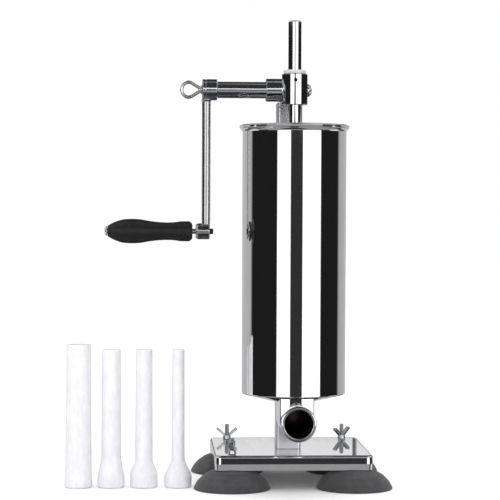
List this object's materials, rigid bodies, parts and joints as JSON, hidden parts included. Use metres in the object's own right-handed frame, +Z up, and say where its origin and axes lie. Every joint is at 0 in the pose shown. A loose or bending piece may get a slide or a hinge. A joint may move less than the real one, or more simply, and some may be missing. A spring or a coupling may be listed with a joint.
{
  "type": "sausage stuffer",
  "caption": "Vertical sausage stuffer: steel barrel with rack-driven piston and side crank, front outlet, post on a suction-cup base, with loose filling nozzles.",
  "frame": {"origin": "middle of the bottom of the whole set's box, on the table under the suction cups and the loose nozzles", "axes": "+X to the operator's right (the crank is on the -X side), +Y to the back (the outlet faces -Y), +Z up along the barrel"},
  "size_m": [0.3212, 0.246, 0.454],
  "materials": {
    "polished_steel": "mirror-polished stainless steel",
    "zinc_hardware": "bright zinc-plated steel",
    "rubber": "matte moulded rubber, dark grey",
    "black_plastic": "satin moulded plastic, black",
    "nylon": "turned nylon, light grey",
    "white_plastic": "semi-translucent moulded polypropylene, white",
    "silicone": "matte silicone, off-white"
  },
  "bodies": {
    "frame": {"base_plate": "polished_steel", "suction_cup_front_left": "rubber", "suction_cup_rear_left": "rubber", "suction_cup_front_right": "rubber", "suction_cup_rear_right": "rubber", "stud_front_left": "zinc_hardware", "stud_rear_left": "zinc_hardware", "stud_front_right": "zinc_hardware", "stud_rear_right": "zinc_hardware", "support_post": "polished_steel", "post_foot_block": "zinc_hardware", "post_foot_screw_1": "zinc_hardware", "post_foot_screw_2": "zinc_hardware", "post_cap_block": "zinc_hardware", "post_cap_screw_left": "zinc_hardware", "post_cap_screw_right": "zinc_hardware", "gear_housing": "polished_steel", "housing_bolt": "zinc_hardware", "shaft_tube": "polished_steel", "shaft_bush_outer": "nylon", "shaft_bush_inner": "nylon", "shaft_bush_right": "nylon", "rod_bush_upper": "nylon", "rod_bush_lower": "nylon", "sleeve_set_screw": "zinc_hardware", "barrel": "polished_steel", "outlet_throat": "polished_steel", "outlet_pipe": "polished_steel", "barrel_hook_upper": "polished_steel", "barrel_hook_lower": "polished_steel", "barrel_keeper_upper": "polished_steel", "barrel_keeper_lower": "polished_steel"},
    "crank": {"drive_shaft": "zinc_hardware", "pinion": "zinc_hardware", "crank_hub": "polished_steel", "crank_arm": "polished_steel", "handle_bolt": "polished_steel", "handle_bolt_cap": "black_plastic", "shaft_end_screw": "polished_steel"},
    "grip": {"hand_grip": "black_plastic"},
    "clamp_screw": {"clamp_screw": "polished_steel"},
    "rack": {"rack_rod": "polished_steel", "piston_disc": "polished_steel", "piston_seal": "silicone", "piston_washer": "zinc_hardware", "piston_nut": "zinc_hardware"},
    "wing_nut_rear_left": {"wing_nut_rear_left": "zinc_hardware"},
    "wing_nut_rear_right": {"wing_nut_rear_right": "zinc_hardware"},
    "wing_nut_front_left": {"wing_nut_front_left": "zinc_hardware"},
    "nozzle_wide": {"nozzle_wide": "white_plastic"},
    "nozzle_medium": {"nozzle_medium": "white_plastic"},
    "nozzle_small": {"nozzle_small": "white_plastic"},
    "nozzle_narrow": {"nozzle_narrow": "white_plastic"}
  },
  "joints": [
    {"name": "crank_turn", "type": "hinge", "parent": "frame", "child": "crank", "pos_m": [0.0611, -0.04375, 0.3879], "axis": [1, 0, 0], "range_deg": [-1640, 305]},
    {"name": "rack_slide", "type": "slide", "parent": "frame", "child": "rack", "axis": [0, 0, 1], "range_m": [-0.0401, 0.2151]},
    {"name": "grip_spin", "type": "hinge", "parent": "crank", "child": "grip", "pos_m": [-0.0769, -0.04375, 0.2511], "axis": [1, 0, 0], "continuous": true},
    {"name": "clamp_screw_turn", "type": "hinge", "parent": "crank", "child": "clamp_screw", "pos_m": [-0.0339, -0.04375, 0.3879], "axis": [1, 0, 0], "continuous": true},
    {"name": "wing_nut_rear_left_turn", "type": "hinge", "parent": "frame", "child": "wing_nut_rear_left", "pos_m": [0.0031, 0.0855, 0.0377], "axis": [0, 0, 1], "continuous": true},
    {"name": "wing_nut_rear_right_turn", "type": "hinge", "parent": "frame", "child": "wing_nut_rear_right", "pos_m": [0.1231, 0.0855, 0.0377], "axis": [0, 0, 1], "continuous": true},
    {"name": "wing_nut_front_left_turn", "type": "hinge", "parent": "frame", "child": "wing_nut_front_left", "pos_m": [0.0031, -0.0345, 0.0377], "axis": [0, 0, 1], "continuous": true},
    {"name": "nozzle_wide_lift", "type": "slide", "parent": "frame", "child": "nozzle_wide", "axis": [0, 0, 1], "range_m": [0, 0.06]},
    {"name": "nozzle_medium_lift", "type": "slide", "parent": "frame", "child": "nozzle_medium", "axis": [0, 0, 1], "range_m": [0, 0.06]},
    {"name": "nozzle_small_lift", "type": "slide", "parent": "frame", "child": "nozzle_small", "axis": [0, 0, 1], "range_m": [0, 0.06]},
    {"name": "nozzle_narrow_lift", "type": "slide", "parent": "frame", "child": "nozzle_narrow", "axis": [0, 0, 1], "range_m": [0, 0.06]}
  ],
  "couplings": [
    {"joint": "rack_slide", "follows": "crank_turn", "m_per_rad": -0.0075}
  ]
}
